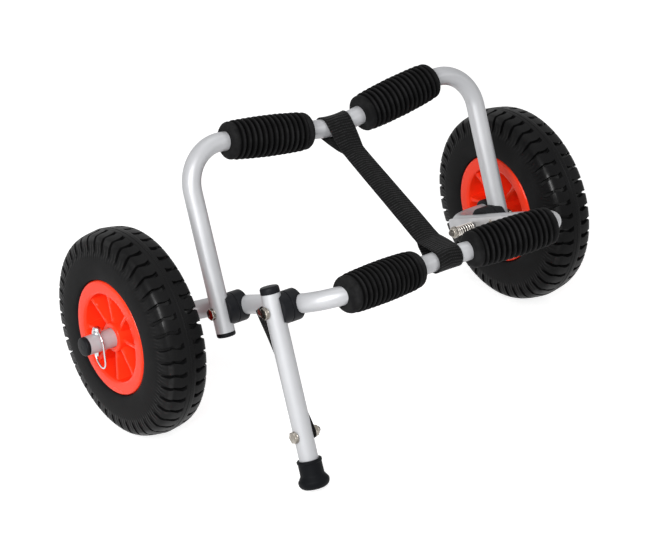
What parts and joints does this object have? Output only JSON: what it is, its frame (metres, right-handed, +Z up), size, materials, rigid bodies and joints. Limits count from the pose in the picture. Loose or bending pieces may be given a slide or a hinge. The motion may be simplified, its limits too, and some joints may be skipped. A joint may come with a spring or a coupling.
{
  "type": "folding kayak cart",
  "caption": "Two-wheeled kayak cart with two folding aluminium U frames, foam padded bars, webbing strap, drop-down stand, airless tyres and pinned wheels.",
  "frame": {"origin": "on the floor, in the middle of the cart's footprint", "axes": "+X along the axle to the side with the sprung pivot, +Y to the rear, away from the stand, +Z up"},
  "size_m": [0.73, 0.3964, 0.3562],
  "materials": {
    "aluminium_tube": "satin",
    "foam": "matte",
    "black_plastic": "satin",
    "rubber_foot": "satin",
    "webbing": "matte",
    "bolt_steel": "satin",
    "pin_chrome": "gloss",
    "tyre_rubber": "matte",
    "rim_plastic": "gloss"
  },
  "bodies": {
    "front_frame": {"front_frame_tube": "aluminium_tube", "lock_plate": "aluminium_tube", "lock_plate_rivet": "bolt_steel", "lock_spring": "bolt_steel", "lock_nut": "bolt_steel", "leg_saddle": "black_plastic", "stand_bolt": "bolt_steel", "stand_nut": "bolt_steel", "strap_anchor": "bolt_steel", "stand_strap": "webbing", "web_strap": "webbing", "front_pad_left": "foam", "front_saddle_left": "black_plastic", "pivot_bolt_left": "bolt_steel", "axle_cap_left": "black_plastic", "wheel_spacer_left": "black_plastic", "lynch_pin_left": "pin_chrome", "lynch_ring_left": "pin_chrome", "front_pad_right": "foam", "front_saddle_right": "black_plastic", "pivot_bolt_right": "bolt_steel", "axle_cap_right": "black_plastic", "wheel_spacer_right": "black_plastic", "lynch_pin_right": "pin_chrome", "lynch_ring_right": "pin_chrome", "pivot_nut_left": "bolt_steel"},
    "rear_frame": {"rear_frame_tube": "aluminium_tube", "rear_pad_left": "foam", "rear_saddle_left": "black_plastic", "rear_plug_left": "black_plastic", "rear_pad_right": "foam", "rear_saddle_right": "black_plastic", "rear_plug_right": "black_plastic"},
    "stand": {"stand_tube": "aluminium_tube", "stand_plug": "black_plastic", "stand_foot": "rubber_foot", "stand_saddle": "black_plastic", "strap_bolt": "bolt_steel", "strap_nut": "bolt_steel"},
    "wheel_left": {"tyre_left": "tyre_rubber", "rim_left": "rim_plastic"},
    "wheel_right": {"tyre_right": "tyre_rubber", "rim_right": "rim_plastic"}
  },
  "joints": [
    {"name": "rear_frame_fold", "type": "hinge", "parent": "front_frame", "child": "rear_frame", "pos_m": [0, 0.00216, 0.1563], "axis": [1, 0, 0], "range_deg": [0, 66], "deforming": ["web_strap"]},
    {"name": "stand_fold", "type": "hinge", "parent": "front_frame", "child": "stand", "pos_m": [0, -0.10552, 0.20201], "axis": [1, 0, 0], "range_deg": [0, 58], "deforming": ["stand_strap"]},
    {"name": "wheel_left_spin", "type": "hinge", "parent": "front_frame", "child": "wheel_left", "pos_m": [-0.296, 0.0712, 0.127], "axis": [1, 0, 0], "continuous": true},
    {"name": "wheel_right_spin", "type": "hinge", "parent": "front_frame", "child": "wheel_right", "pos_m": [0.296, 0.0712, 0.127], "axis": [1, 0, 0], "continuous": true}
  ]
}
